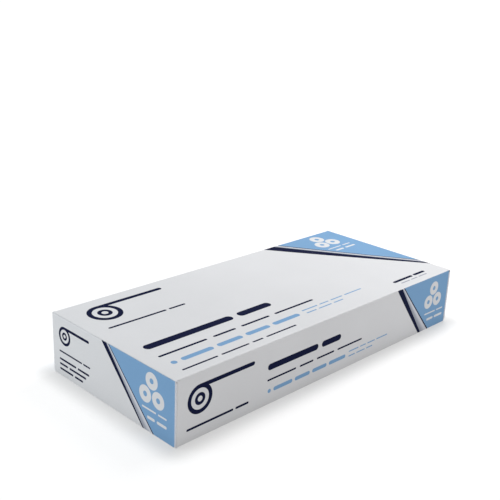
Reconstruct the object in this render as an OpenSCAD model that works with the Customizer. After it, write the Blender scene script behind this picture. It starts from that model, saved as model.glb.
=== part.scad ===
// A closed carton of foil refill rolls. The rolls lie side by side, and the board is folded
// round them: four panels make a tube with a glued seam along the back of the bottom, and each
// end is shut by two dust flaps, an inner flap from the bottom and an outer flap from the top.
// X runs along the rolls, the front faces -Y, and the origin is at the middle of the bottom.

/* [Contents] */
// Width of the foil on each roll
foil_w = 450; // [300:5:600]
// Length of core that sticks out at each end of a roll
core_end = 3; // [0:0.5:6]
// Diameter of a full roll
roll_d = 68; // [50:1:90]
// Number of rolls, side by side
roll_count = 3; // [2:1:5]

/* [Room round the rolls] */
// Room along the rolls, in all
end_play = 1.8; // [0:0.1:8]
// Room across the row of rolls, in all
side_play = 1.6; // [0:0.1:8]
// Room above the rolls
top_play = 2.1; // [0:0.1:8]

/* [Board] */
// Thickness of the fluted board
board = 1.2; // [0.8:0.1:3]
// Radius on the inside of a fold
fold_inner = 0.2; // [0.1:0.1:1]

/* [End flaps] */
// How far the outer flap's sides stand back from the front and back faces
outer_setback = 0.2; // [0.1:0.1:3]
// How far the inner flap's sides stand back from the front and back faces
inner_setback = 0.4; // [0.2:0.1:3]
// Height of the outer flap's lower edge above the ground
outer_rise = 1.3; // [0.5:0.1:20]
// Radius on the outer flap's two free corners
outer_corner = 2; // [0.5:0.1:10]
// Width of the slots that part the flaps at the corners
slot_w = 1.2; // [0.4:0.1:2]
// How far those slots run past the dust flaps' folds
slot_run = 1; // [0.2:0.1:4]

/* [Glued seam] */
// How far the bottom panel's cut edge stands back from the back face
seam_setback = 0.9; // [0.3:0.1:3]

/* [Printed fields] */
// Width of the blue field along the upper edge of the front and the back
side_field = 102; // [40:1:150]
// How much narrower that field is along their lower edge
side_slant = 63; // [0:1:100]
// Width of the blue field along the upper edge of each end
end_field = 104; // [40:1:150]
// How much narrower that field is along the lower edge
end_slant = 74; // [0:1:100]
// Width of the blue field along the back edge of the top
top_field = 108; // [40:1:200]
// How far its slanted edge would run to the right on its way to the front edge
top_slant = 140; // [0:1:250]

/* [Lines beside the fields] */
// How far the thin, the pale and the dark line reach from the field, along a side's upper edge
side_upper = [1.4, 4.5, 14.5]; // [0.5:0.1:40]
// How far they reach along the side's lower edge
side_lower = [1.4, 17, 22]; // [0.5:0.1:40]
// How far they reach along an end's upper edge
end_upper = [1.4, 4.5, 13]; // [0.5:0.1:40]
// How far they reach along the end's lower edge
end_lower = [1.4, 16, 18]; // [0.5:0.1:40]
// How far they reach along the back edge of the top
top_upper = [2.5, 9, 29]; // [0.5:0.1:40]
// How far they reach at the level of the front edge of the top
top_lower = [1.8, 7, 9.5]; // [0.5:0.1:40]

/* [Hidden] */
$fn = 64;

// Inside of the tube
inside_l = foil_w + 2 * core_end + end_play;
inside_w = roll_count * roll_d + side_play;
inside_h = roll_d + top_play;

// Each end has three layers of board: the dust flaps, the inner flap and the outer flap
end_layers = 3;
carton_l = inside_l + 2 * end_layers * board;
carton_w = inside_w + 2 * board;
carton_h = inside_h + 2 * board;
fold_outer = fold_inner + board;

// Outer faces of the dust flaps and of the inner flap, from the middle
dust_face = carton_l / 2 - 2 * board;
inner_face = carton_l / 2 - board;

// How far a cutting shape reaches past the face that it cuts
past = 5;

// A rectangle from [x0, y0] to [x1, y1] with rounded corners
module round_rect(x0, y0, x1, y1, r) {
    translate([x0 + r, y0]) square([x1 - x0 - 2 * r, y1 - y0]);
    translate([x0, y0 + r]) square([x1 - x0, y1 - y0 - 2 * r]);
    for (x = [x0 + r, x1 - r], y = [y0 + r, y1 - r])
        translate([x, y]) circle(r);
}

// Section of the tube. The back panel folds in above the bottom panel, whose cut edge shows.
module tube_section() {
    round_rect(-carton_w / 2, board, carton_w / 2, carton_h, fold_outer);
    intersection() {
        round_rect(-carton_w / 2, 0, carton_w / 2 + past, carton_h, fold_outer);
        translate([-carton_w / 2, 0]) square([carton_w - seam_setback, carton_h / 2]);
    }
}

// A slot with a round root, cut through the board of a long fold and out of the tube's end
module corner_slot() {
    translate([-slot_run, 0, fold_inner])
        linear_extrude(past) {
            circle(d = slot_w);
            translate([0, -slot_w / 2]) square([slot_run + past, slot_w]);
        }
}

// The slots stand square to the folds. The back's lower fold lies on the bottom panel.
module corner_slots() {
    for (turn = [0, 180], level = [-1, 1]) {
        seam_lift = turn == 180 && level < 0 ? board : 0;
        fold_z = level > 0 ? carton_h - fold_outer : fold_outer + seam_lift;
        for (end = [0, 1])
            rotate([0, 0, turn]) mirror([end, 0, 0])
                translate([dust_face, fold_outer - carton_w / 2, fold_z])
                    rotate([90 - level * 45, 0, 0]) corner_slot();
    }
}

// The four panels, with the folds of the dust flaps down the ends of the front and back
module tube() {
    difference() {
        intersection() {
            rotate([90, 0, 90]) linear_extrude(2 * dust_face, center = true) tube_section();
            translate([0, 0, -past]) linear_extrude(carton_h + 2 * past)
                round_rect(-dust_face, -carton_w / 2, dust_face, carton_w / 2, fold_outer);
        }
        corner_slots();
    }
}

// The bottom panel runs on past the tube and turns up at both ends as the inner flaps
module inner_flaps() {
    rotate([90, 0, 0])
        linear_extrude(carton_w - 2 * inner_setback, center = true)
            intersection() {
                round_rect(-inner_face, 0, inner_face, carton_h, fold_outer);
                translate([-inner_face, 0]) square([2 * inner_face, carton_h - fold_outer]);
            }
}

// The top panel runs on past the tube and turns down at both ends as the outer flaps
module outer_flaps() {
    flap_w = carton_w - 2 * outer_setback;
    intersection() {
        rotate([90, 0, 0])
            linear_extrude(flap_w, center = true) {
                round_rect(-carton_l / 2, carton_h / 2, carton_l / 2, carton_h, fold_outer);
                translate([-carton_l / 2, 0]) square([carton_l, carton_h - fold_outer]);
            }
        rotate([90, 0, 90])
            linear_extrude(carton_l, center = true) {
                round_rect(-flap_w / 2, outer_rise, flap_w / 2, carton_h, outer_corner);
                translate([-flap_w / 2, carton_h / 2]) square([flap_w, carton_h / 2]);
            }
    }
}

// The flaps begin at the roots of the slots, so their square sides leave the long folds alone
module end_zones() {
    flap_root = dust_face - slot_run;
    for (end = [0, 1])
        mirror([end, 0, 0])
            translate([flap_root, -carton_w / 2, 0])
                cube([carton_l / 2 - flap_root, carton_w, carton_h]);
}

module folded_board() {
    tube();
    intersection() {
        union() {
            inner_flaps();
            outer_flaps();
        }
        end_zones();
    }
}

// The printed panels, as seen from outside: width, lower edge, upper edge, width of the blue
// field, slant of its edge, and the reach of its lines. The middle of the width is at 0.
TOP = [carton_l, -carton_w / 2, carton_w / 2, top_field, top_slant, top_upper, top_lower];
SIDE = [carton_l, 0, carton_h, side_field, side_slant, side_upper, side_lower];
END = [carton_w, 0, carton_h, end_field, end_slant, end_upper, end_lower];

// Depth of the colour, so that two panels' print meets half way round the fold between them
ink = fold_outer * (1 - cos(45));

// A flat drawing becomes the ink on the face of a panel that lies this far from the origin
module inked(face) {
    translate([0, 0, face - ink]) linear_extrude(ink + past) children();
}

// Lays a drawing on the top, both sides and both ends, which match when turned half round
module on_panels() {
    let ($panel = TOP) inked(carton_h) children();
    for (turn = [0, 180])
        rotate([0, 0, turn]) {
            rotate([90, 0, 0]) let ($panel = SIDE) inked(carton_w / 2) children();
            rotate([90, 0, -90]) let ($panel = END) inked(carton_l / 2) children();
        }
}

// Where a line beside the blue field ends on the left, along a panel's upper edge and along its
// lower one. The lines count from 1, and the field itself is line 0.
function upper_end(line) = $panel[0] / 2 - $panel[3] - concat(0, $panel[5])[line];
function lower_end(line) = $panel[0] / 2 - $panel[3] + $panel[4] - concat(0, $panel[6])[line];

// A line's slanted band, from its own end to the end of the one before it. The blue field runs
// right from its own end instead, past the edge of the panel.
module band(line) {
    before = max(line - 1, 0);
    further = line == 0 ? $panel[0] : 0;
    polygon([
        [upper_end(line), $panel[2]], [upper_end(before) + further, $panel[2]],
        [lower_end(before) + further, $panel[1]], [lower_end(line), $panel[1]],
    ]);
}

module blue_print() {
    on_panels() band(0);
}

module navy_print() {
    on_panels() {
        band(1);
        band(3);
    }
}

module silver_print() {
    on_panels() band(2);
}

// The print is flush with the board
module carton() {
    color("whitesmoke") difference() {
        folded_board();
        blue_print();
        navy_print();
        silver_print();
    }
    color("steelblue") intersection() {
        folded_board();
        blue_print();
    }
    color("midnightblue") intersection() {
        folded_board();
        navy_print();
    }
    color("silver") intersection() {
        folded_board();
        silver_print();
    }
}

carton();
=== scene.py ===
"""The looks of a closed carton of foil refill rolls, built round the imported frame.

The carton is one sheet of fluted board. It is run out and folded from its edges, panel by
panel, as the real blank is, and then given the board's thickness. The print is plain fields,
lines, rings and bars, laid on each panel by that panel's own flat coordinates.
"""

import logging
import math
from collections.abc import Callable, Sequence
from dataclasses import dataclass
from enum import Enum
from typing import Protocol

import bmesh
import bpy
from bmesh.types import BMEdge, BMVert
from bpy.types import Material, Node, NodeSocket, Object
from mathutils import Euler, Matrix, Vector, noise


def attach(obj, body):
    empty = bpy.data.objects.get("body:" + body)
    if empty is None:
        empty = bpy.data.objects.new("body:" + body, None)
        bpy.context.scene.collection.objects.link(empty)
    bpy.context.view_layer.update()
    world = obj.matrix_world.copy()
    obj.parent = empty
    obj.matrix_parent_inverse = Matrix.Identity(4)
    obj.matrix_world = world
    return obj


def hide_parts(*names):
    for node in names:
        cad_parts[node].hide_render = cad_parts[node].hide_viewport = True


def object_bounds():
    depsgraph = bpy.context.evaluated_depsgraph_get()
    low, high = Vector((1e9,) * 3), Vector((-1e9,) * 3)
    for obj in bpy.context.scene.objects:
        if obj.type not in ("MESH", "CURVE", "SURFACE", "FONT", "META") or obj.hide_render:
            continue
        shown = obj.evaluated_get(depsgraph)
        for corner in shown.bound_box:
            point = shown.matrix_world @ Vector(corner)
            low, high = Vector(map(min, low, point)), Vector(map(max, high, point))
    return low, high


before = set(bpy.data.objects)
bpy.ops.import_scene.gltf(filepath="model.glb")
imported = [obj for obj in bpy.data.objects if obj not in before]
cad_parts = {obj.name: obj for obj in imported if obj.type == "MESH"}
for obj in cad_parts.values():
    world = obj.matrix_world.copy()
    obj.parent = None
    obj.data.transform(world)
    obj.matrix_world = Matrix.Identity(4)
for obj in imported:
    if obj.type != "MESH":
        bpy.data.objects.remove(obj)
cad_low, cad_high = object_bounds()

log = logging.getLogger("carton")

NODE = "carton"
BODY = "root"
MM_PER_M = 1000.0
NEAR = 1e-6  # two places closer than this are one
EDGE_SOFTNESS = 0.12  # how far an ink's edge fades each way, in millimetres
FLUTE_PITCH = 2.4  # from one flute of the board to the next, in millimetres
QUARTER = math.pi / 2
X_AXIS, Y_AXIS, Z_AXIS = Vector((1, 0, 0)), Vector((0, 1, 0)), Vector((0, 0, 1))

# How the rolls in the print are drawn, as shares of their diameter
STACK_LINE = 0.34
SIGN_LINE = 0.145
SIGN_CORE = 0.42
CORE_LINE_SHARE = 0.8  # of the outer line
STACK_RISE = math.sin(math.radians(60))  # of the pitch, from the lower rolls to the upper one

Number = float | NodeSocket
Colour = tuple[float, float, float]


class Side(Enum):
    """A side of the carton: its name, outward normal, and the ways right and up as it is seen."""

    TOP = ("top", (0, 0, 1), (1, 0, 0), (0, 1, 0))
    BOTTOM = ("bottom", (0, 0, -1), (1, 0, 0), (0, -1, 0))
    FRONT = ("front", (0, -1, 0), (1, 0, 0), (0, 0, 1))
    BACK = ("back", (0, 1, 0), (-1, 0, 0), (0, 0, 1))
    LEFT = ("left_end", (-1, 0, 0), (0, -1, 0), (0, 0, 1))
    RIGHT = ("right_end", (1, 0, 0), (0, 1, 0), (0, 0, 1))

    @property
    def label(self) -> str:
        """The side's name in plain words."""
        return self.value[0]

    @property
    def normal(self) -> Vector:
        """The way that the side faces."""
        return Vector(self.value[1])

    @property
    def right(self) -> Vector:
        """The way to the right on the side, as it is seen."""
        return Vector(self.value[2])

    @property
    def up(self) -> Vector:
        """The way up on the side, as it is seen."""
        return Vector(self.value[3])


class Ink(Enum):
    """What a place on the printed board shows: its colour and its roughness."""

    BOARD = ((0.672, 0.674, 0.689), 0.56)
    BLUE = ((0.196, 0.356, 0.568), 0.50)
    NAVY = ((0.0060, 0.0090, 0.0380), 0.46)
    SILVER = ((0.330, 0.350, 0.410), 0.42)
    PALE_SILVER = ((0.620, 0.632, 0.675), 0.42)

    @property
    def colour(self) -> Colour:
        """The ink's colour, in linear light."""
        return self.value[0]

    @property
    def roughness(self) -> float:
        """The roughness of the varnish over the ink."""
        return self.value[1]


@dataclass(frozen=True)
class Grain:
    """A noise pattern fixed to the carton: its features to the metre and its finer layers."""

    scale: float
    detail: float
    stretch: Vector | None = None


@dataclass(frozen=True)
class Ramp:
    """The part of a value's range over which it takes effect."""

    low: float
    high: float


class Bench:
    """Lays out the shader nodes of one material."""

    def __init__(self, name: str) -> None:
        """Starts a material with a shader and nothing wired to it.

        Args:
            name: The material's name.
        """
        self.material: Material = bpy.data.materials.new(name)
        self.material.use_nodes = True
        self.tree = self.material.node_tree
        self.shader: Node = self.tree.nodes["Principled BSDF"]
        self.place: NodeSocket = self.node("ShaderNodeTexCoord").outputs["Object"]

    def node(self, kind: str, **settings: object) -> Node:
        """Adds a node and sets its properties.

        Args:
            kind: The node's type.
            settings: Values for the node's own properties.

        Returns:
            The new node.
        """
        made = self.tree.nodes.new(kind)
        for name, value in settings.items():
            setattr(made, name, value)
        return made

    def feed(self, socket: NodeSocket, value: Number | Sequence[float]) -> None:
        """Wires a value to a socket, or sets it there if it is constant.

        Args:
            socket: The socket.
            value: Another socket or a constant.
        """
        if isinstance(value, NodeSocket):
            self.tree.links.new(value, socket)
        else:
            socket.default_value = value

    def math(self, operation: str, *values: Number) -> NodeSocket:
        """Adds a Math node.

        Args:
            operation: What the node works out.
            values: Its one to three values.

        Returns:
            The result's socket.
        """
        made = self.node("ShaderNodeMath", operation=operation)
        for socket, value in zip(made.inputs, values):
            self.feed(socket, value)
        return made.outputs[0]

    def apart(self, a: Number, b: Number) -> NodeSocket:
        """How far two values lie apart."""
        return self.math("ABSOLUTE", self.math("SUBTRACT", a, b))

    def along(self, direction: Vector, scale: float = 1.0) -> NodeSocket:
        """How far a point of the carton lies along a direction.

        Args:
            direction: A unit vector in the carton's frame.
            scale: A factor for the result.

        Returns:
            The distance's socket.
        """
        made = self.node("ShaderNodeVectorMath", operation="DOT_PRODUCT")
        self.feed(made.inputs[0], self.place)
        self.feed(made.inputs[1], direction * scale)
        return made.outputs["Value"]

    def length(self, u: Number, v: Number) -> NodeSocket:
        """Works out the length of a flat vector.

        Args:
            u: Its part to the right.
            v: Its part upwards.

        Returns:
            The length's socket.
        """
        pair = self.node("ShaderNodeCombineXYZ")
        self.feed(pair.inputs[0], u)
        self.feed(pair.inputs[1], v)
        made = self.node("ShaderNodeVectorMath", operation="LENGTH")
        self.feed(made.inputs[0], pair.outputs[0])
        return made.outputs["Value"]

    def grain(self, pattern: Grain) -> NodeSocket:
        """Adds a noise pattern.

        Args:
            pattern: Its scale and detail, and a factor for each axis if it is drawn out.

        Returns:
            The pattern's socket, about 0.5 on average.
        """
        made = self.node("ShaderNodeTexNoise")
        made.inputs["Scale"].default_value = pattern.scale
        made.inputs["Detail"].default_value = pattern.detail
        place = self.place
        if pattern.stretch is not None:
            mapping = self.node("ShaderNodeMapping")
            mapping.inputs["Scale"].default_value = pattern.stretch
            self.feed(mapping.inputs["Vector"], place)
            place = mapping.outputs[0]
        self.feed(made.inputs["Vector"], place)
        return made.outputs["Fac"]

    def span(self, value: Number, ramp: Ramp, to_low: float, to_high: float) -> NodeSocket:
        """Maps a value smoothly from one span to another, and holds it at the ends.

        Args:
            value: The value.
            ramp: The span that it is mapped from.
            to_low: The result at the low end of the ramp and below it.
            to_high: The result at the high end and above it.

        Returns:
            The result's socket.
        """
        made = self.node("ShaderNodeMapRange", interpolation_type="SMOOTHSTEP")
        for socket, given in zip(made.inputs, (value, ramp.low, ramp.high, to_low, to_high)):
            self.feed(socket, given)
        return made.outputs[0]

    def mix(self, share: Number, a: NodeSocket | Colour, b: NodeSocket | Colour) -> NodeSocket:
        """Mixes two colours.

        Args:
            share: How far the result is from the first colour to the second.
            a: The first colour.
            b: The second colour.

        Returns:
            The result's socket.
        """
        made = self.node("ShaderNodeMix", data_type="RGBA")
        self.feed(made.inputs["Factor"], share)
        for socket, colour in ((made.inputs[6], a), (made.inputs[7], b)):
            self.feed(socket, (*colour, 1.0) if isinstance(colour, tuple) else colour)
        return made.outputs[2]

    def bump(self, height: NodeSocket, depth: float) -> None:
        """Wires a height pattern to the shader's normal.

        Args:
            height: The pattern, from 0 to 1.
            depth: Its real depth in metres.
        """
        made = self.node("ShaderNodeBump")
        made.inputs["Distance"].default_value = depth
        self.feed(made.inputs["Height"], height)
        self.feed(self.shader.inputs["Normal"], made.outputs[0])


@dataclass(frozen=True)
class Sheet:
    """The flat coordinates of one panel, in millimetres, and the size that its print fills."""

    bench: Bench
    u: NodeSocket
    v: NodeSocket
    half_width: float
    low: float
    high: float


class Mark(Protocol):
    """A plain shape in the print."""

    def distance(self, sheet: Sheet) -> NodeSocket:
        """How far a place lies outside the shape, in millimetres, and below 0 inside it.

        Args:
            sheet: The panel's flat coordinates.

        Returns:
            The distance's socket.
        """


@dataclass(frozen=True)
class Slope:
    """The slanted edge of a field of colour that fills a panel's right-hand end.

    Three lines lie along it: a thin one, a pale one and a dark one. Their outer edges are given
    by how far they lie from the slanted edge, at the panel's upper edge and at its lower one.
    """

    field: float
    slant: float
    upper: tuple[float, float, float]
    lower: tuple[float, float, float]

    def before_edge(self, sheet: Sheet) -> NodeSocket:
        """How far a place lies to the left of the slanted edge, measured level.

        Args:
            sheet: The panel's flat coordinates.

        Returns:
            The distance's socket.
        """
        bench = sheet.bench
        start = sheet.half_width - self.field
        rate = self.slant / (sheet.high - sheet.low)
        edge = bench.math("MULTIPLY_ADD", sheet.v, -rate, start + rate * sheet.high)
        return bench.math("SUBTRACT", edge, sheet.u)

    def reach(self, sheet: Sheet, line: int) -> Number:
        """How far the lines reach from the slanted edge, at each height.

        Args:
            sheet: The panel's flat coordinates.
            line: The last line that is counted in. Before the first, nothing reaches out.

        Returns:
            The distance.
        """
        if line == 0:
            return 0.0
        upper, lower = self.upper[line - 1], self.lower[line - 1]
        rate = (upper - lower) / (sheet.high - sheet.low)
        return sheet.bench.math("MULTIPLY_ADD", sheet.v, rate, lower - rate * sheet.low)


@dataclass(frozen=True)
class Field:
    """The field of colour to the right of a slope."""

    slope: Slope

    def distance(self, sheet: Sheet) -> NodeSocket:
        """How far a place lies outside the field."""
        return self.slope.before_edge(sheet)


@dataclass(frozen=True)
class Band:
    """One of the lines along a slope, counted from the slanted edge."""

    slope: Slope
    line: int

    def distance(self, sheet: Sheet) -> NodeSocket:
        """How far a place lies outside the band.

        Args:
            sheet: The panel's flat coordinates.

        Returns:
            The distance's socket.
        """
        bench = sheet.bench
        before = self.slope.before_edge(sheet)
        inside = bench.math("SUBTRACT", self.slope.reach(sheet, self.line - 1), before)
        outside = bench.math("SUBTRACT", before, self.slope.reach(sheet, self.line))
        return bench.math("MAXIMUM", inside, outside)


@dataclass(frozen=True)
class Sheen:
    """The inner side of one of those lines, which fades out across the line.

    It is half gone at one share of the line's breadth, and fades over another share each way.
    """

    band: Band
    half_way: float = 0.50
    fade: float = 0.40

    def distance(self, sheet: Sheet) -> NodeSocket:
        """How far a place lies outside the sheen, stretched so that its edge fades slowly.

        Args:
            sheet: The panel's flat coordinates.

        Returns:
            The distance's socket.
        """
        bench = sheet.bench
        slope, line = self.band.slope, self.band.line
        inner, outer = slope.reach(sheet, line - 1), slope.reach(sheet, line)
        beyond = bench.math("SUBTRACT", slope.before_edge(sheet), inner)
        share = bench.math("DIVIDE", beyond, bench.math("SUBTRACT", outer, inner))
        past_half = bench.math("SUBTRACT", share, self.half_way)
        faded = bench.math("MULTIPLY", past_half, EDGE_SOFTNESS / self.fade)
        return bench.math("MAXIMUM", faded, self.band.distance(sheet))


@dataclass(frozen=True)
class Ring:
    """A round line."""

    u: float
    v: float
    diameter: float
    line: float

    def distance(self, sheet: Sheet) -> NodeSocket:
        """How far a place lies outside the line.

        Args:
            sheet: The panel's flat coordinates.

        Returns:
            The distance's socket.
        """
        bench = sheet.bench
        beside = bench.math("SUBTRACT", sheet.u, self.u)
        above = bench.math("SUBTRACT", sheet.v, self.v)
        off = bench.apart(bench.length(beside, above), (self.diameter - self.line) / 2)
        return bench.math("SUBTRACT", off, self.line / 2)


@dataclass(frozen=True)
class BarRow:
    """A row of bars with round ends, which share out its length between them."""

    left: float
    right: float
    level: float
    height: float
    shares: tuple[float, ...]
    gap: float

    def distance(self, sheet: Sheet) -> NodeSocket:
        """How far a place lies outside the bars.

        Args:
            sheet: The panel's flat coordinates.

        Returns:
            The distance's socket.
        """
        bench = sheet.bench
        room = self.right - self.left - self.gap * (len(self.shares) - 1)
        start, beside = self.left, None
        for share in self.shares:
            length = room * share / sum(self.shares)
            off = bench.apart(sheet.u, start + length / 2)
            off = bench.math("SUBTRACT", off, (length - self.height) / 2)
            beside = off if beside is None else bench.math("MINIMUM", beside, off)
            start += length + self.gap
        above = bench.math("SUBTRACT", sheet.v, self.level)
        away = bench.length(bench.math("MAXIMUM", beside, 0.0), above)
        return bench.math("SUBTRACT", away, self.height / 2)


def roll_stack(u: float, v: float, diameter: float, pitch: float) -> tuple[Mark, ...]:
    """The ends of three rolls: two side by side, and one on top of them.

    Args:
        u: The middle of the stack.
        v: The height of the lower two rolls' middles.
        diameter: The diameter of a roll.
        pitch: The distance from roll to roll.

    Returns:
        One thick ring for each roll.
    """
    line = diameter * STACK_LINE
    rise = pitch * STACK_RISE
    return (
        Ring(u - pitch / 2, v, diameter, line),
        Ring(u + pitch / 2, v, diameter, line),
        Ring(u, v + rise, diameter, line),
    )


def roll_sign(left: float, low: float, height: float, reach: float) -> tuple[Mark, ...]:
    """A roll seen from its end, with its sheet drawn off to the right.

    Args:
        left: The left edge of the sign.
        low: Its lower edge.
        height: The diameter of the roll.
        reach: How far the sheet runs from the middle of the roll.

    Returns:
        The rings and bars of the sign.
    """
    line = height * SIGN_LINE
    u, v = left + height / 2, low + height / 2
    sheet_level = low + height - line / 2
    return (
        Ring(u, v, height, line),
        Ring(u, v, height * SIGN_CORE, line * CORE_LINE_SHARE),
        BarRow(u - line / 2, u + reach, sheet_level, line, (1,), 0),
    )


@dataclass(frozen=True)
class Layer:
    """Marks printed in one ink, over the layers before it."""

    ink: Ink
    marks: tuple[Mark, ...]


def slope_layers(slope: Slope) -> tuple[Layer, ...]:
    """The field of colour and the three lines along its edge.

    Args:
        slope: The field's slanted edge.

    Returns:
        The inks, from the first one printed to the last.
    """
    return (
        Layer(Ink.BLUE, (Field(slope),)),
        Layer(Ink.SILVER, (Band(slope, 2),)),
        Layer(Ink.PALE_SILVER, (Sheen(Band(slope, 2)),)),
        Layer(Ink.NAVY, (Band(slope, 1), Band(slope, 3))),
    )


TOP_SLOPE = Slope(108, 140, upper=(2.5, 9, 29), lower=(1.8, 7, 9.5))
SIDE_SLOPE = Slope(102, 63, upper=(1.7, 4.5, 14.5), lower=(2.4, 17, 22))
END_SLOPE = Slope(104, 74, upper=(1.6, 4.5, 13), lower=(2.1, 16, 18))

# Each side's print, in millimetres. Across, it is counted from the middle of the side. Upwards,
# it is counted from the ground, and on the top from the middle.
ARTWORK: dict[Side, tuple[Layer, ...]] = {
    Side.TOP: (
        *slope_layers(TOP_SLOPE),
        Layer(Ink.NAVY, (
            *roll_sign(-210, 46, 40, 92),
            BarRow(-211, -106, 30, 3.2, (10, 3), 4),
            BarRow(-212, -31, -31, 10.5, (12, 5), 9),
            BarRow(-213, 16, -55, 3.2, (6, 3, 4, 6), 9),
            BarRow(-213, -52, -91, 2.4, (6, 5, 2, 6), 5),
            BarRow(135, 201, -84, 4.4, (5, 3), 3),
        )),
        Layer(Ink.BLUE, (
            BarRow(-212, -28, -73.5, 6.6, (1, 6, 5, 5, 6), 6),
            BarRow(-19, 88, -69.5, 2.0, (5, 3, 4, 6), 4),
            BarRow(-19, 45, -77.0, 2.0, (3, 4, 3), 4),
        )),
        Layer(Ink.SILVER, (
            BarRow(141, 196, -91.5, 2.0, (4, 3, 4), 3),
        )),
        Layer(Ink.BOARD, (
            *roll_stack(187, 67, 21, 22.5),
            BarRow(168, 214, 49, 2.2, (5, 3), 4),
            BarRow(174, 214, 40, 3.6, (4, 5), 4),
        )),
    ),
    Side.FRONT: (
        *slope_layers(SIDE_SLOPE),
        Layer(Ink.NAVY, (
            *roll_sign(-217, 27, 32, 74),
            BarRow(-218, -134, 14, 2.6, (10, 3), 3),
            BarRow(-107, 12, 44, 7.4, (12, 5), 6),
            BarRow(-107, 52, 29, 2.2, (6, 3, 4, 6), 6),
        )),
        Layer(Ink.BLUE, (
            BarRow(-106, 23, 16, 4.6, (1, 6, 5, 5, 6), 4),
            BarRow(29, 103, 19.5, 1.5, (5, 3, 4, 6), 3),
            BarRow(29, 74, 13.5, 1.5, (3, 4, 3), 3),
        )),
        Layer(Ink.BOARD, (
            *roll_stack(198, 38.5, 18, 19.5),
            BarRow(182, 223, 22.5, 1.9, (5, 3), 3),
            BarRow(188, 223, 14, 3.2, (4, 5), 3),
        )),
    ),
    Side.BACK: slope_layers(SIDE_SLOPE),
    Side.LEFT: (
        *slope_layers(END_SLOPE),
        Layer(Ink.NAVY, (
            *roll_sign(-92, 40, 22, 46),
            BarRow(-92, -34, 31, 1.9, (10, 3), 2),
            BarRow(-92, -36, 21.5, 2.4, (6, 4), 3),
            BarRow(-92, -42, 15.5, 2.4, (3, 6), 3),
            BarRow(-92, -48, 9.5, 2.4, (5, 3), 3),
        )),
        Layer(Ink.BOARD, (
            *roll_stack(69, 41, 18.5, 20),
            BarRow(54, 92, 26, 1.9, (5, 3), 3),
            BarRow(62, 92, 17, 3.2, (4, 5), 3),
        )),
    ),
    Side.RIGHT: slope_layers(END_SLOPE),
    Side.BOTTOM: (),
}


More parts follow.
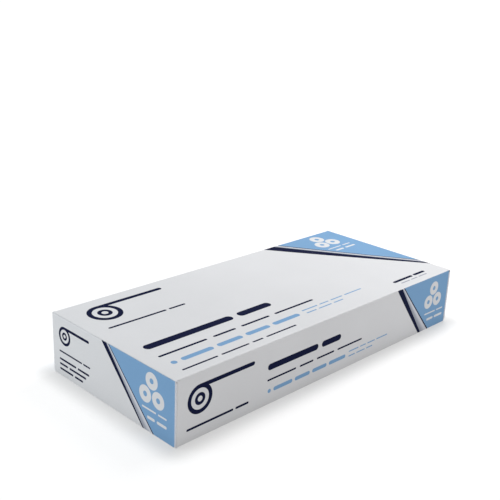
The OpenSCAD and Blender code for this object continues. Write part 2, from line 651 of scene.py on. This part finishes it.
@dataclass(frozen=True)
class PrintedBoard:
    """The finish of one printed side: satin varnish over ink on white-lined board.

    Ramps of distance are in millimetres, and depths are in metres.
    """

    side: Side
    layers: tuple[Layer, ...]
    flutes_across: bool
    flute_pitch: float = FLUTE_PITCH
    flute_depth: float = 0.000018
    flute_share: float = 0.35
    nap: Grain = Grain(700.0, 5.0)
    nap_share: float = 0.3
    scuffs: Grain = Grain(26.0, 4.0)
    scuff_range: float = 0.12
    cloud: Grain = Grain(9.0, 3.0)
    cloud_share: float = 0.65
    fibre: Grain = Grain(1400.0, 2.0)
    fibre_share: float = 0.35
    cloud_ramp: Ramp = Ramp(0.3, 0.7)
    cloudiness: float = 0.05
    wear_ramp: Ramp = Ramp(0.2, 1.3)
    cracks: Grain = Grain(900.0, 4.0)
    crack_ramp: Ramp = Ramp(0.44, 0.62)
    fold_wear: float = 0.35
    # Painted shade along an outer flap's fold, and painted highlight bands below it and along the
    # long folds
    painted_crease_ramp: Ramp = Ramp(0.85, 1.19)
    painted_crease_shade: float = 0.10
    painted_rim_ramp: Ramp = Ramp(1.4, 3.0)
    painted_rim_highlight: float = 0.045
    painted_long_rim_ramp: Ramp = Ramp(2.1, 4.2)
    painted_long_rim_highlight: float = 0.035
    specular: float = 0.012

    def material(self, size: Vector) -> Material:
        """Builds the side's material.

        Args:
            size: The carton's length, width and height in metres.

        Returns:
            The material.
        """
        bench = Bench(f"printed_{self.side.label}")
        sheet = self.lay_out(bench, size)
        colour, roughness = self.print_on(sheet)
        colour = self.age(sheet, colour)
        bench.feed(bench.shader.inputs["Base Color"], colour)
        bench.feed(bench.shader.inputs["Roughness"], roughness)
        bench.shader.inputs["Specular IOR Level"].default_value = self.specular
        self.texture(sheet)
        return bench.material

    def lay_out(self, bench: Bench, size: Vector) -> Sheet:
        """Gives the side its flat coordinates in millimetres.

        Args:
            bench: The material's nodes.
            size: The carton's length, width and height in metres.

        Returns:
            The side's coordinates.
        """
        side = self.side
        half_width = abs(size.dot(side.right)) / 2 * MM_PER_M
        reach = abs(size.dot(side.up)) * MM_PER_M
        low = 0.0 if abs(side.up.z) > 0 else -reach / 2
        u = bench.along(side.right, MM_PER_M)
        v = bench.along(side.up, MM_PER_M)
        return Sheet(bench, u, v, half_width, low, low + reach)

    def print_on(self, sheet: Sheet) -> tuple[NodeSocket, NodeSocket]:
        """Lays the inks on the board, one layer over another.

        Args:
            sheet: The side's flat coordinates.

        Returns:
            The colour and the roughness.
        """
        bench = sheet.bench
        colour: NodeSocket | Colour = Ink.BOARD.colour
        roughness: Number = Ink.BOARD.roughness
        for layer in self.layers:
            nearest = None
            for mark in layer.marks:
                away = mark.distance(sheet)
                nearest = away if nearest is None else bench.math("MINIMUM", nearest, away)
            cover = bench.span(nearest, Ramp(-EDGE_SOFTNESS, EDGE_SOFTNESS), 1.0, 0.0)
            colour = bench.mix(cover, colour, layer.ink.colour)
            step = bench.math("SUBTRACT", layer.ink.roughness, roughness)
            roughness = bench.math("MULTIPLY_ADD", step, cover, roughness)
        scuffs = bench.grain(self.scuffs)
        scuffs = bench.math("MULTIPLY_ADD", scuffs, self.scuff_range, -self.scuff_range / 2)
        return (
            colour if isinstance(colour, NodeSocket) else bench.mix(0.0, colour, colour),
            bench.math("ADD", roughness, scuffs),
        )

    def age(self, sheet: Sheet, colour: NodeSocket) -> NodeSocket:
        """Clouds the ink a little and cracks it along the folds.

        Args:
            sheet: The side's flat coordinates.
            colour: The fresh print's colour.

        Returns:
            The print's colour as it is.
        """
        bench = sheet.bench
        cloud = bench.math("MULTIPLY", bench.grain(self.cloud), self.cloud_share)
        blend = bench.math("MULTIPLY_ADD", bench.grain(self.fibre), self.fibre_share, cloud)
        shade = bench.span(blend, self.cloud_ramp, 1.0 - self.cloudiness, 1.0)
        # Painted shade and painted highlights along the upper folds, multiplied into the colour
        shade = bench.math("MULTIPLY", shade, self.painted_fold_light(sheet))
        tinted = bench.node("ShaderNodeVectorMath", operation="SCALE")
        bench.feed(tinted.inputs[0], colour)
        bench.feed(tinted.inputs["Scale"], shade)
        beside = bench.math("SUBTRACT", sheet.half_width, bench.math("ABSOLUTE", sheet.u))
        off_middle = bench.apart(sheet.v, (sheet.low + sheet.high) / 2)
        above = bench.math("SUBTRACT", (sheet.high - sheet.low) / 2, off_middle)
        inset = bench.math("MINIMUM", beside, above)
        at_fold = bench.span(inset, self.wear_ramp, 1.0, 0.0)
        cracks = bench.span(bench.grain(self.cracks), self.crack_ramp, 0.0, 1.0)
        worn = bench.math("MULTIPLY", bench.math("MULTIPLY", at_fold, cracks), self.fold_wear)
        return bench.mix(worn, tinted.outputs[0], Ink.BOARD.colour)

    def painted_fold_light(self, sheet: Sheet) -> Number:
        """The tone of the board along its upper folds, where it was scored and bent.

        It is painted light. An outer flap's fold has a painted dark shade line where it was
        scored, with a painted highlight band below it, and the long folds have a painted highlight
        band on top.

        Args:
            sheet: The side's flat coordinates.

        Returns:
            A factor for the print's colour.
        """
        bench = sheet.bench
        if self.side is Side.TOP:
            to_end = bench.math("SUBTRACT", sheet.half_width, bench.math("ABSOLUTE", sheet.u))
            to_long = bench.math("SUBTRACT", sheet.high, bench.math("ABSOLUTE", sheet.v))
            painted_crease = bench.span(to_end, self.painted_crease_ramp, 1.0 - self.painted_crease_shade, 1.0)
            painted_rim = bench.span(to_long, self.painted_long_rim_ramp, 1.0 + self.painted_long_rim_highlight, 1.0)
            return bench.math("MULTIPLY", painted_crease, painted_rim)
        if self.side in (Side.LEFT, Side.RIGHT):
            below = bench.math("SUBTRACT", sheet.high, sheet.v)
            painted_crease = bench.span(below, self.painted_crease_ramp, 1.0 - self.painted_crease_shade, 1.0)
            painted_rim = bench.span(below, self.painted_rim_ramp, 1.0 + self.painted_rim_highlight, 1.0)
            return bench.math("MULTIPLY", painted_crease, painted_rim)
        return 1.0

    def texture(self, sheet: Sheet) -> None:
        """Shows the flutes faintly through the liner, under the paper's own nap.

        Args:
            sheet: The side's flat coordinates.
        """
        bench = sheet.bench
        across = sheet.u if self.flutes_across else sheet.v
        turn = bench.math("MULTIPLY", across, 2 * math.pi / self.flute_pitch)
        wave = bench.math("SINE", turn)
        flutes = bench.math("MULTIPLY_ADD", wave, self.flute_share, self.flute_share)
        nap = bench.grain(self.nap)
        bench.bump(bench.math("MULTIPLY_ADD", nap, self.nap_share, flutes), self.flute_depth)


@dataclass(frozen=True)
class BareBoard:
    """The unprinted inside of the board and the faces of the hidden flaps."""

    colour: Colour = (0.56, 0.55, 0.53)
    fleck: Colour = (0.40, 0.37, 0.33)
    fibres: Grain = Grain(420.0, 6.0, Vector((0.25, 1.0, 1.0)))
    fibre_ramp: Ramp = Ramp(0.52, 0.72)
    fibre_share: float = 0.6
    nap: Grain = Grain(900.0, 5.0)
    nap_depth: float = 0.00003
    roughness: float = 0.85

    def material(self) -> Material:
        """Builds the finish of plain liner with a few fibres in it.

        Returns:
            The material.
        """
        bench = Bench("bare_board")
        fibres = bench.span(bench.grain(self.fibres), self.fibre_ramp, 0.0, self.fibre_share)
        bench.feed(bench.shader.inputs["Base Color"], bench.mix(fibres, self.colour, self.fleck))
        bench.shader.inputs["Roughness"].default_value = self.roughness
        bench.bump(bench.grain(self.nap), self.nap_depth)
        return bench.material


@dataclass(frozen=True)
class CutBoard:
    """A cut edge of the board: two liners with the fluting between them.

    The piece's own map runs along the edge in millimetres, and from 0 at the outer liner to 1
    at the inner one.
    """

    map_name: str
    liner: Colour = (0.86, 0.88, 0.94)
    # Painted shade in the hollows between the liners and the fluting
    painted_hollow_shade: Colour = (0.66, 0.68, 0.74)
    flute_pitch: float = FLUTE_PITCH
    liner_share: float = 0.2
    liner_fade: float = 0.04
    flute_ramp: Ramp = Ramp(0.119, 0.17)
    torn: Grain = Grain(1500.0, 3.0)
    torn_ramp: Ramp = Ramp(0.35, 0.65)
    torn_share: float = 0.75
    relief: float = 0.0002
    roughness: float = 0.8

    def material(self) -> Material:
        """Builds the finish from the distance to the liners and to the waved sheet.

        Returns:
            The material.
        """
        bench = Bench("cut_board")
        own_map = bench.node("ShaderNodeUVMap", uv_map=self.map_name)
        parts = bench.node("ShaderNodeSeparateXYZ")
        bench.feed(parts.inputs[0], own_map.outputs[0])
        along, depth = parts.outputs[0], parts.outputs[1]
        middle = 0.5
        reach = middle - self.liner_share
        liner_ramp = Ramp(reach, reach + self.liner_fade)
        liners = bench.span(bench.apart(depth, middle), liner_ramp, 0.0, 1.0)
        turn = bench.math("MULTIPLY", along, 2 * math.pi / self.flute_pitch)
        wave = bench.math("MULTIPLY_ADD", bench.math("SINE", turn), reach, middle)
        fluting = bench.span(bench.apart(depth, wave), self.flute_ramp, 1.0, 0.0)
        solid = bench.math("MAXIMUM", liners, fluting)
        torn = bench.span(bench.grain(self.torn), self.torn_ramp, self.torn_share, 1.0)
        share = bench.math("MULTIPLY", solid, torn)
        # Between the liners and the fluting, the colour is painted shade in the flutes' hollows
        bench.feed(bench.shader.inputs["Base Color"], bench.mix(share, self.painted_hollow_shade, self.liner))
        bench.shader.inputs["Roughness"].default_value = self.roughness
        bench.bump(solid, self.relief)
        return bench.material


def corners_of(edges: list[BMEdge]) -> list[BMVert]:
    """The corners of a few edges, each of them once and always in the same order."""
    return list(dict.fromkeys(corner for edge in edges for corner in edge.verts))


class FoldedSheet:
    """A mesh that grows from its free edges, as a sheet of board that is run out and folded."""

    def __init__(self, fold_radius: float, fold_steps: int) -> None:
        """Starts an empty sheet.

        Args:
            fold_radius: The radius on the outside of a fold.
            fold_steps: The number of faces round a fold. An even number parts two sides.
        """
        self.bm = bmesh.new()
        self.fold_radius = fold_radius
        self.fold_steps = fold_steps

    def start(self, first: Vector, last: Vector, steps: int) -> list[BMEdge]:
        """Lays the first edge of the sheet.

        Args:
            first: Where the edge starts.
            last: Where it ends.
            steps: The number of stretches in it.

        Returns:
            The stretches of the edge.
        """
        corners = [
            bmesh.ops.create_vert(self.bm, co=first.lerp(last, i / steps))["vert"][0]
            for i in range(steps + 1)
        ]
        return [self.bm.edges.new(pair) for pair in zip(corners, corners[1:])]

    def run(self, edges: list[BMEdge], move: Vector, steps: int = 1) -> list[BMEdge]:
        """Runs the sheet straight on from an edge.

        Args:
            edges: The free edge.
            move: How far the sheet runs.
            steps: The number of rows of faces.

        Returns:
            The new free edge.
        """
        for _ in range(steps):
            grown = bmesh.ops.extrude_edge_only(self.bm, edges=edges)["geom"]
            corners = [part for part in grown if isinstance(part, BMVert)]
            bmesh.ops.translate(self.bm, vec=move / steps, verts=corners)
            edges = [part for part in grown if isinstance(part, BMEdge)]
        return edges

    def fold(self, edges: list[BMEdge], axis: Vector, inward: Vector, turn: float) -> list[BMEdge]:
        """Folds the sheet round from an edge.

        Args:
            edges: The free edge, where the fold begins.
            axis: The fold's axis.
            inward: The way from the sheet to the fold's axis.
            turn: The angle of the fold.

        Returns:
            The new free edge.
        """
        corners = corners_of(edges)
        pivot = corners[0].co + inward * self.fold_radius
        folded = bmesh.ops.spin(
            self.bm, geom=edges + corners, cent=pivot, axis=axis, angle=turn,
            steps=self.fold_steps, use_duplicate=False,
        )["geom_last"]
        return [part for part in folded if isinstance(part, BMEdge)]

    def spread(self, edges: list[BMEdge], low: float, high: float) -> None:
        """Stretches a free edge along Y.

        Args:
            edges: The free edge.
            low: Where its lower end goes.
            high: Where its upper end goes.
        """
        corners = corners_of(edges)
        old_low = min(corner.co.y for corner in corners)
        old_high = max(corner.co.y for corner in corners)
        for corner in corners:
            share = (corner.co.y - old_low) / (old_high - old_low)
            corner.co.y = low + share * (high - low)

    def free(self, where: Callable[[Vector], bool]) -> list[BMEdge]:
        """Finds free edges.

        Args:
            where: A test that both ends of such an edge pass.

        Returns:
            The edges.
        """
        return [
            edge for edge in self.bm.edges
            if edge.is_boundary and all(where(corner.co) for corner in edge.verts)
        ]

    def round_corners(self, edges: list[BMEdge], radius: float, segments: int) -> None:
        """Rounds the two ends of a free edge.

        Args:
            edges: The free edge.
            radius: The radius of the two corners.
            segments: The number of stretches round a corner.
        """
        corners = corners_of(edges)
        reach = max(abs(corner.co.y) for corner in corners)
        ends = [corner for corner in corners if abs(corner.co.y) > reach - NEAR]
        bmesh.ops.bevel(
            self.bm, geom=ends, offset=radius, segments=segments, profile=0.5,
            affect="VERTICES", material=-1,
        )


@dataclass
class CartonBlank:
    """The carton's one sheet of board, folded shut round the rolls. Its sizes are in metres."""

    length: float
    width: float
    height: float
    board: float = 0.0012
    fold_radius: float = 0.0014
    fold_steps: int = 6
    lap_gap: float = 0.00003
    outer_setback: float = 0.0002
    inner_setback: float = 0.0004
    outer_rise: float = 0.0013
    outer_corner: float = 0.002
    corner_steps: int = 5
    slot_shoulder: float = 0.0007
    seam_setback: float = 0.0009
    glue_flap: float = 0.022
    dust_flap: float = 0.068
    inner_headroom: float = 0.003
    long_steps: int = 36
    wide_steps: int = 16
    high_steps: int = 6
    top_dish: float = 0.0005
    side_dish: float = 0.00035
    dish_flatness: int = 4
    ripple: float = 0.00008
    ripple_length: float = 0.09
    edge_map: str = "cut_edge"

    def __post_init__(self) -> None:
        """Works out the planes that the panels and flaps lie in, and where the flaps begin."""
        self.half_l = self.length / 2
        self.half_w = self.width / 2
        self.layer = self.board + self.lap_gap
        self.inner_face = self.half_l - self.layer
        self.dust_face = self.half_l - 2 * self.layer
        self.root = self.dust_face - self.fold_radius

    def build(self) -> Object:
        """Folds the sheet, gives it thickness and dresses it.

        Returns:
            The finished piece.
        """
        sheet = FoldedSheet(self.fold_radius, self.fold_steps)
        self.fold_tube(sheet)
        for end in (-1, 1):
            self.close_end(sheet, end)
        self.settle(sheet)
        piece = self.thicken(sheet)
        self.dress(piece)
        return piece

    def fold_tube(self, sheet: FoldedSheet) -> None:
        """Runs out the glue flap and the four panels, from the inside of the seam round to it.

        Args:
            sheet: The empty sheet.
        """
        radius = self.fold_radius
        start_y = self.half_w - radius - self.glue_flap
        first = Vector((-self.root, start_y, self.layer))
        last = Vector((self.root, start_y, self.layer))
        back = self.height - 2 * radius - self.layer
        top = self.width - 2 * radius
        front = self.height - 2 * radius
        bottom = self.width - radius - self.seam_setback
        edge = sheet.start(first, last, self.long_steps)
        edge = sheet.run(edge, Y_AXIS * self.glue_flap)
        edge = sheet.fold(edge, X_AXIS, Z_AXIS, QUARTER)
        edge = sheet.run(edge, Z_AXIS * back, self.high_steps)
        edge = sheet.fold(edge, X_AXIS, -Y_AXIS, QUARTER)
        edge = sheet.run(edge, -Y_AXIS * top, self.wide_steps)
        edge = sheet.fold(edge, X_AXIS, -Z_AXIS, QUARTER)
        edge = sheet.run(edge, -Z_AXIS * front, self.high_steps)
        edge = sheet.fold(edge, X_AXIS, Y_AXIS, QUARTER)
        sheet.run(edge, Y_AXIS * bottom, self.wide_steps)

    def close_end(self, sheet: FoldedSheet, end: int) -> None:
        """Folds the four flaps of one end.

        Args:
            sheet: The sheet, with its tube.
            end: -1 for the left end and 1 for the right.
        """
        for side in (-1, 1):
            self.fold_dust_flap(sheet, end, side)
        inner = sheet.free(lambda co: self.at_root(co, end) and co.z < NEAR)
        self.fold_over(
            sheet, inner, end, way=Z_AXIS, face=self.inner_face,
            setback=self.inner_setback, shortfall=self.inner_headroom,
        )
        outer = sheet.free(lambda co: self.at_root(co, end) and co.z > self.height - NEAR)
        outer = self.fold_over(
            sheet, outer, end, way=-Z_AXIS, face=self.half_l,
            setback=self.outer_setback, shortfall=self.outer_rise,
        )
        sheet.round_corners(outer, self.outer_corner, self.corner_steps)

    def at_root(self, corner: Vector, end: int) -> bool:
        """Whether a corner of the sheet lies where the flaps of one end begin."""
        return abs(corner.x - end * self.root) < NEAR

    def fold_dust_flap(self, sheet: FoldedSheet, end: int, side: int) -> None:
        """Folds a dust flap in from the front or the back.

        Args:
            sheet: The sheet, with its tube.
            end: -1 for the left end and 1 for the right.
            side: -1 for the front and 1 for the back.
        """
        inward = -Y_AXIS * side
        edge = sheet.free(
            lambda co: self.at_root(co, end) and abs(co.y - side * self.half_w) < NEAR
        )
        edge = sheet.fold(edge, Z_AXIS, inward, -side * end * QUARTER)
        sheet.run(edge, inward * self.dust_flap)

    def fold_over(
        self, sheet: FoldedSheet, edge: list[BMEdge], end: int, way: Vector, face: float,
        setback: float, shortfall: float,
    ) -> list[BMEdge]:
        """Folds the inner or the outer flap over an end.

        Args:
            sheet: The sheet, with its tube.
            edge: The end of the panel that the flap hangs on.
            end: -1 for the left end and 1 for the right.
            way: The way that the flap runs from its fold, up or down.
            face: How far its outer face lies from the middle of the carton.
            setback: How far its sides stand back from the front and the back.
            shortfall: How far it stops short of the opposite panel's face.

        Returns:
            The flap's free edge.
        """
        along = X_AXIS * end
        shoulder, radius = self.slot_shoulder, self.fold_radius
        edge = sheet.run(edge, along * shoulder)
        sheet.spread(edge, setback - self.half_w, self.half_w - setback)
        edge = sheet.run(edge, along * (face - radius - self.root - shoulder))
        edge = sheet.fold(edge, Y_AXIS, way, -end * way.z * QUARTER)
        return sheet.run(edge, way * (self.height - radius - shortfall), self.high_steps)

    def settle(self, sheet: FoldedSheet) -> None:
        """Lets the top, front and back sag inwards a little between their folds.

        Args:
            sheet: The folded sheet.
        """
        flat_w = self.half_w - self.fold_radius
        flat_h = self.height / 2 - self.fold_radius
        for corner in sheet.bm.verts:
            x, y, z = corner.co
            if abs(x) > self.root + NEAR:
                continue
            along = 1 - (x / self.root) ** self.dish_flatness
            wave = noise.noise(corner.co / self.ripple_length) * self.ripple
            if z > self.height - NEAR:
                across = 1 - (y / flat_w) ** 2
                corner.co.z -= max(0.0, self.top_dish + wave) * along * across
            elif abs(y) > self.half_w - NEAR:
                across = 1 - ((z - self.height / 2) / flat_h) ** 2
                depth = max(0.0, self.side_dish + wave) * along * max(0.0, across)
                corner.co.y -= math.copysign(depth, y)

    def thicken(self, sheet: FoldedSheet) -> Object:
        """Makes the sheet an object with the board's thickness, on the inside.

        Args:
            sheet: The folded sheet.

        Returns:
            The object, with a map that runs along and across its cut edges.
        """
        mesh = bpy.data.meshes.new("folded_carton")
        outside = len(sheet.bm.faces)
        bmesh.ops.recalc_face_normals(sheet.bm, faces=sheet.bm.faces)
        sheet.bm.normal_update()
        highest = max(sheet.bm.faces, key=lambda face: face.calc_center_median().z)
        if highest.normal.z < 0:
            bmesh.ops.reverse_faces(sheet.bm, faces=sheet.bm.faces)
        sheet.bm.to_mesh(mesh)
        sheet.bm.free()
        piece = bpy.data.objects.new("folded_carton", mesh)
        bpy.context.collection.objects.link(piece)
        wall = piece.modifiers.new("board", "SOLIDIFY")
        wall.thickness = self.board
        wall.offset = -1
        wall.use_even_offset = True
        depsgraph = bpy.context.evaluated_depsgraph_get()
        thick = bpy.data.meshes.new_from_object(piece.evaluated_get(depsgraph))
        piece.modifiers.clear()
        piece.data = thick
        bpy.data.meshes.remove(mesh)
        thick.name = "folded_carton"
        self.sort_faces(piece, outside)
        flat_panels = piece.modifiers.new("flat_panels", "WEIGHTED_NORMAL")
        flat_panels.keep_sharp = True
        return piece

    def sort_faces(self, piece: Object, outside: int) -> None:
        """Gives each face its material and each cut edge its map.

        The faces that the outer flaps cover have no print, as the bottom has none.

        Args:
            piece: The thickened sheet. Its outer faces come first, then the inner ones.
            outside: The number of outer faces.
        """
        sides = list(Side)
        bare, cut = len(sides), len(sides) + 1
        mesh = piece.data
        own_map = mesh.uv_layers.new(name=self.edge_map)
        outer_corners = {corner for face in mesh.polygons[:outside] for corner in face.vertices}
        for face in mesh.polygons:
            facing = max(range(bare), key=lambda i: face.normal.dot(sides[i].normal))
            under_flap = abs(face.center.x) < self.inner_face + NEAR
            if under_flap and sides[facing] in (Side.LEFT, Side.RIGHT):
                facing = sides.index(Side.BOTTOM)
            face.use_smooth = True
            if face.index >= 2 * outside:
                face.material_index = cut
                face.use_smooth = False
                self.map_edge(mesh, own_map, face, outer_corners)
            elif face.index >= outside:
                face.material_index = bare
            else:
                face.material_index = facing

    def map_edge(
        self, mesh: bpy.types.Mesh, own_map: bpy.types.MeshUVLoopLayer,
        face: bpy.types.MeshPolygon, outer_corners: set[int],
    ) -> None:
        """Maps one face of a cut edge, along the edge in millimetres and across the board.

        Args:
            mesh: The carton's mesh.
            own_map: The map that is written.
            face: The face.
            outer_corners: The corners that lie on the outer liner.
        """
        places = {i: mesh.vertices[mesh.loops[i].vertex_index] for i in face.loop_indices}
        outer = [corner.co for corner in places.values() if corner.index in outer_corners]
        run = (outer[-1] - outer[0]).normalized()
        run = run if max(run, key=abs) > 0 else -run
        for i, corner in places.items():
            depth = 0.0 if corner.index in outer_corners else 1.0
            own_map.data[i].uv = (corner.co.dot(run) * MM_PER_M, depth)

    def dress(self, piece: Object) -> None:
        """Adds the materials, in the order that sort_faces counts them.

        Args:
            piece: The thickened sheet.
        """
        size = Vector((self.length, self.width, self.height))
        for side in Side:
            flutes_across = side in (Side.LEFT, Side.RIGHT)
            finish = PrintedBoard(side, ARTWORK[side], flutes_across)
            piece.data.materials.append(finish.material(size))
        piece.data.materials.append(BareBoard().material())
        piece.data.materials.append(CutBoard(self.edge_map).material())


@dataclass(frozen=True)
class Viewpoint:
    """Where the photograph was taken from, in metres and degrees."""

    eye: Vector = Vector((-0.6750, -0.6271, 0.4420))
    aim: Vector = Vector((0.0022, 0.0367, 0.1110))
    roll: float = 2.39
    focal_length: float = 59.77
    sensor_width: float = 36.0
    nearest: float = 0.01
    furthest: float = 100.0

    def place_camera(self) -> Object:
        """Puts the scene's camera there.

        Returns:
            The camera.
        """
        data = bpy.data.cameras.new("camera")
        data.lens = self.focal_length
        data.sensor_width = self.sensor_width
        data.clip_start, data.clip_end = self.nearest, self.furthest
        camera = bpy.data.objects.new("camera", data)
        bpy.context.collection.objects.link(camera)
        turn = (self.aim - self.eye).to_track_quat("-Z", "Y")
        roll = Euler((0, 0, math.radians(self.roll))).to_quaternion()
        camera.rotation_euler = (turn @ roll).to_euler()
        camera.location = self.eye
        bpy.context.scene.camera = camera
        return camera


@dataclass(frozen=True)
class Sun:
    """A wide, distant light: the ceiling of the studio."""

    name: str
    lean: Vector
    strength: float
    spread: float
    tint: Colour = (1.0, 1.0, 1.0)

    def hang(self, aim: Vector) -> Object:
        """Hangs the light above a point.

        Args:
            aim: The point.

        Returns:
            The lamp.
        """
        data = bpy.data.lights.new(self.name, "SUN")
        data.energy = self.strength
        data.angle = math.radians(self.spread)
        data.color = self.tint
        return place_lamp(data, aim + self.lean, aim)


@dataclass(frozen=True)
class SoftBox:
    """A large square lamp that faces the carton."""

    name: str
    place: Vector
    size: float
    power: float
    tint: Colour = (1.0, 1.0, 1.0)

    def hang(self, aim: Vector) -> Object:
        """Hangs the lamp so that it faces a point.

        Args:
            aim: The point.

        Returns:
            The lamp.
        """
        data = bpy.data.lights.new(self.name, "AREA")
        data.size = self.size
        data.energy = self.power
        data.color = self.tint
        return place_lamp(data, self.place, aim)


def place_lamp(data: bpy.types.Light, place: Vector, aim: Vector) -> Object:
    """Puts a lamp in the scene, out of the camera's sight.

    Args:
        data: The lamp's settings.
        place: Where it hangs.
        aim: The point that it faces.

    Returns:
        The lamp.
    """
    lamp = bpy.data.objects.new(data.name, data)
    bpy.context.collection.objects.link(lamp)
    lamp.location = place
    lamp.rotation_euler = (aim - place).to_track_quat("-Z", "Y").to_euler()
    lamp.visible_camera = False
    return lamp


@dataclass(frozen=True)
class PaleFloor:
    """The finish of a matt floor, which glows less close round the carton and more far off.

    The dimmer glow close round the carton is a painted contact shadow.
    Its ramps run over the distance from the carton, in metres.
    """

    shade: float = 0.36
    cloud: Grain = Grain(3.0, 2.0)
    cloud_ramp: Ramp = Ramp(0.3, 0.7)
    cloud_share: float = 0.98
    roughness: float = 0.9
    specular: float = 0.1
    # Painted contact shadow: the lower glow close round the carton, and the distance it fades over
    painted_shadow_ramp: Ramp = Ramp(0.0, 0.03)
    painted_shadow_glow: float = 0.43
    glow: float = 0.68
    far_ramp: Ramp = Ramp(0.25, 1.5)
    far_lift: float = 0.12

    def material(self, footprint: Vector) -> Material:
        """Builds the floor's material.

        Args:
            footprint: The carton's size in metres.

        Returns:
            The material.
        """
        bench = Bench("pale_floor")
        tone = bench.span(bench.grain(self.cloud), self.cloud_ramp, 0.0, 1.0)
        shade = (self.shade,) * 3
        dim = (self.shade * self.cloud_share,) * 3
        bench.feed(bench.shader.inputs["Base Color"], bench.mix(tone, dim, shade))
        bench.shader.inputs["Roughness"].default_value = self.roughness
        bench.shader.inputs["Specular IOR Level"].default_value = self.specular
        beyond = [
            bench.math("SUBTRACT", bench.math("ABSOLUTE", bench.along(axis)), half)
            for axis, half in ((X_AXIS, footprint.x / 2), (Y_AXIS, footprint.y / 2))
        ]
        away = bench.length(*(bench.math("MAXIMUM", reach, 0.0) for reach in beyond))
        # The glow drops close round the carton: a painted contact shadow
        glow_with_painted_shadow = bench.span(away, self.painted_shadow_ramp, self.painted_shadow_glow, self.glow)
        far = bench.span(away, self.far_ramp, 0.0, self.far_lift)
        bench.shader.inputs["Emission Color"].default_value = (1.0, 1.0, 1.0, 1.0)
        bench.feed(bench.shader.inputs["Emission Strength"], bench.math("ADD", glow_with_painted_shadow, far))
        return bench.material


@dataclass(frozen=True)
class Studio:
    """The floor and the soft light round it. Sizes are in metres."""

    floor_radius: float = 14.0
    floor_steps: int = 64
    floor_finish: PaleFloor = PaleFloor()
    aim_height: float = 0.03
    sky: float = 0.05
    horizon: float = 1.0
    haze_ramp: Ramp = Ramp(0.25, 0.42)
    lamps: tuple[Sun | SoftBox, ...] = (
        Sun("ceiling", Vector((-0.08, 0.20, 1.0)), 1.66, 70.0),
        SoftBox("right_lamp", Vector((0.67, 0.12, 0.90)), 0.6, 6.8),
        SoftBox("left_lamp", Vector((-0.75, 0.45, 0.45)), 0.3, 1.30, (0.755, 0.925, 1.0)),
        SoftBox("front_lamp", Vector((0.55, -0.55, 0.20)), 0.3, 0.26),
    )

    def build(self, footprint: Vector) -> Object:
        """Lays the floor, hangs the lamps and lights the surroundings.

        Args:
            footprint: The carton's size in metres.

        Returns:
            The floor.
        """
        bm = bmesh.new()
        bmesh.ops.create_circle(
            bm, cap_ends=True, radius=self.floor_radius, segments=self.floor_steps
        )
        mesh = bpy.data.meshes.new("floor")
        bm.to_mesh(mesh)
        bm.free()
        floor = bpy.data.objects.new("floor", mesh)
        bpy.context.collection.objects.link(floor)
        mesh.materials.append(self.floor_finish.material(footprint))
        for lamp in self.lamps:
            lamp.hang(Z_AXIS * self.aim_height)
        self.light_surroundings()
        bpy.context.scene.view_settings.view_transform = "Standard"
        return floor

    def light_surroundings(self) -> None:
        """Lights the walls more than the ceiling, as paper backdrops all round would."""
        world = bpy.data.worlds.new("surroundings")
        world.use_nodes = True
        nodes, links = world.node_tree.nodes, world.node_tree.links
        direction = nodes.new("ShaderNodeTexCoord").outputs["Generated"]
        parts = nodes.new("ShaderNodeSeparateXYZ")
        fade = nodes.new("ShaderNodeMapRange")
        fade.interpolation_type = "SMOOTHSTEP"
        values = (self.haze_ramp.low, self.haze_ramp.high, self.horizon, self.sky)
        for socket, value in zip(list(fade.inputs)[1:], values):
            socket.default_value = value
        links.new(direction, parts.inputs[0])
        links.new(parts.outputs["Z"], fade.inputs[0])
        backdrop = nodes["Background"]
        backdrop.inputs["Color"].default_value = (1.0, 1.0, 1.0, 1.0)
        links.new(fade.outputs[0], backdrop.inputs["Strength"])
        bpy.context.scene.world = world


def main() -> None:
    """Builds the carton and its studio, and says what each piece is."""
    logging.basicConfig(level=logging.INFO, format="%(name)s: %(message)s")
    size = cad_high - cad_low
    carton = CartonBlank(size.x, size.y, size.z).build()
    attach(carton, BODY)
    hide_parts(NODE)
    log.info("%s: %d faces, %d finishes", carton.name, len(carton.data.polygons),
             len(carton.data.materials))
    floor = Studio().build(size)
    log.info("%s: laid", floor.name)
    camera = Viewpoint().place_camera()
    log.info("%s: placed", camera.name)


if __name__ == "__main__":
    main()
